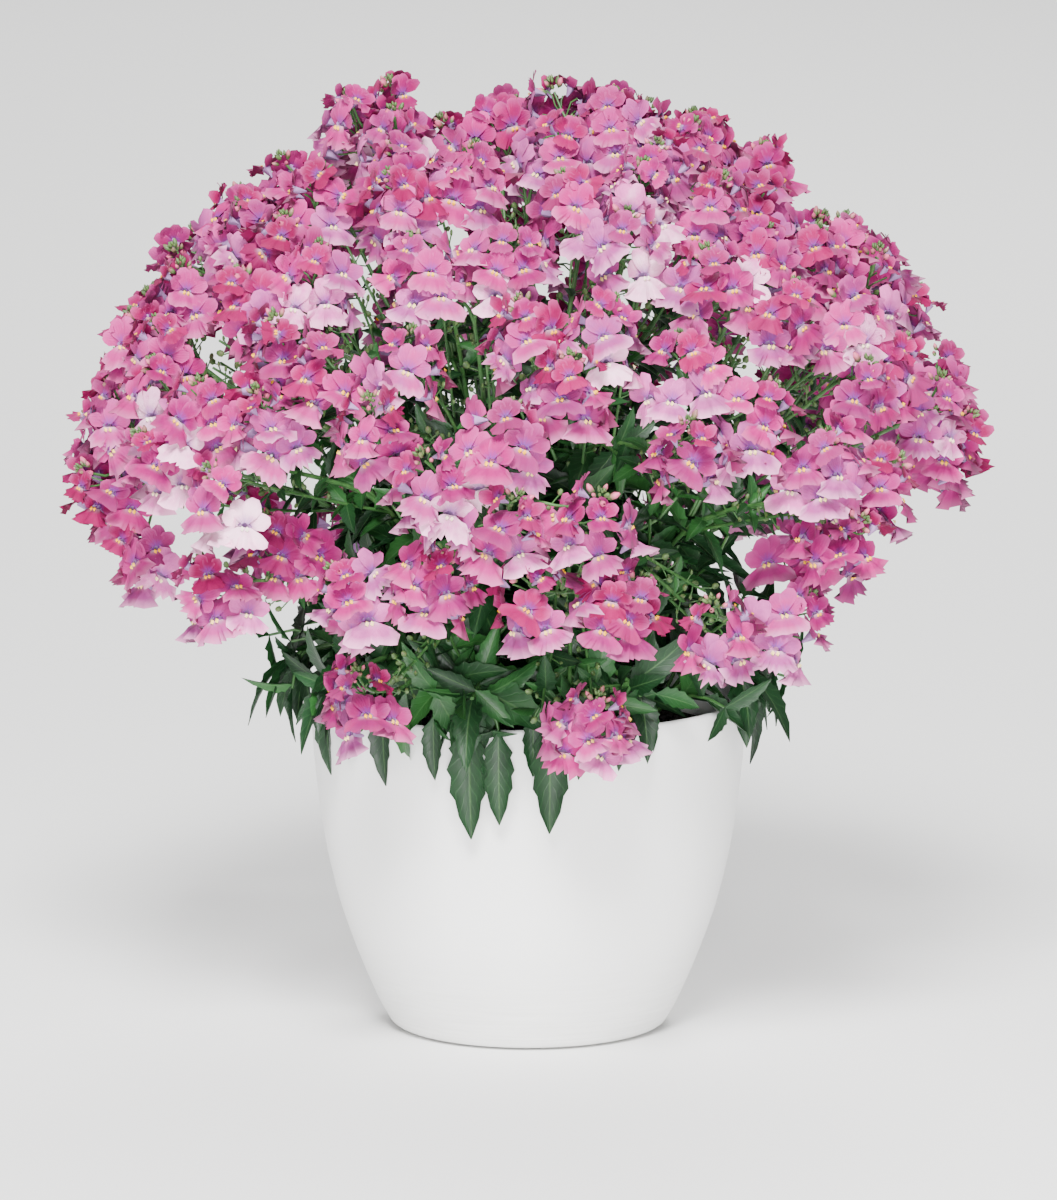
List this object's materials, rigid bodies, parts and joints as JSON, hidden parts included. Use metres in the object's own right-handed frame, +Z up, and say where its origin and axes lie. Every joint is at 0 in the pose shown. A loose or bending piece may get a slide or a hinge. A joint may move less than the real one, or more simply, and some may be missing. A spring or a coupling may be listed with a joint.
{
  "type": "potted nemesia",
  "caption": "Potted nemesia: a dome of two-lipped pink flowers on branching leafy stems, in soil in a plain white pot.",
  "frame": {"origin": "middle of the pot's flat underside, on the pot's axis", "axes": "+Z up along the pot's axis; -Y is the front of the plant, as the picture sees it; +X is its right"},
  "size_m": [0.3861, 0.3792, 0.399],
  "materials": {
    "pot_plastic": "satin, moulded",
    "potting_soil": "rough, crumbly peat soil",
    "foliage": "satin leaf",
    "petal_rose": "soft petal",
    "petal_pink": "soft petal",
    "petal_lilac": "soft petal"
  },
  "bodies": {
    "root": {"pot": "pot_plastic", "soil": "potting_soil", "leafy_stem_01": "foliage", "leafy_stem_02": "foliage", "leafy_stem_03": "foliage", "leafy_stem_04": "foliage", "leafy_stem_05": "foliage", "leafy_stem_06": "foliage", "leafy_stem_07": "foliage", "leafy_stem_08": "foliage", "leafy_stem_09": "foliage", "leafy_stem_10": "foliage", "leafy_stem_11": "foliage", "leafy_stem_12": "foliage", "flower_head_01": "petal_rose", "flower_head_02": "petal_pink", "flower_head_03": "petal_lilac", "flower_head_04": "petal_rose", "flower_head_05": "petal_pink", "flower_head_06": "petal_lilac", "flower_head_07": "petal_rose", "flower_head_08": "petal_pink", "flower_head_09": "petal_lilac", "flower_head_10": "petal_rose", "flower_head_11": "petal_pink", "flower_head_12": "petal_lilac", "flower_head_13": "petal_rose", "flower_head_14": "petal_pink", "flower_head_15": "petal_lilac", "flower_head_16": "petal_rose", "flower_head_17": "petal_pink", "flower_head_18": "petal_lilac", "flower_head_19": "petal_rose", "flower_head_20": "petal_pink", "flower_head_21": "petal_lilac", "flower_head_22": "petal_rose", "flower_head_23": "petal_pink", "flower_head_24": "petal_lilac", "flower_head_25": "petal_rose", "flower_head_26": "petal_pink", "flower_head_27": "petal_lilac", "flower_head_28": "petal_rose", "flower_head_29": "petal_pink", "flower_head_30": "petal_lilac", "flower_head_31": "petal_rose", "flower_head_32": "petal_pink", "flower_head_33": "petal_lilac", "flower_head_34": "petal_rose", "flower_head_35": "petal_pink", "flower_head_36": "petal_lilac", "flower_head_37": "petal_rose", "flower_head_38": "petal_pink", "flower_head_39": "petal_lilac", "flower_head_40": "petal_rose", "flower_head_41": "petal_pink", "flower_head_42": "petal_lilac", "flower_head_43": "petal_rose", "flower_head_44": "petal_pink", "flower_head_45": "petal_lilac", "flower_head_46": "petal_rose"}
  },
  "joints": []
}
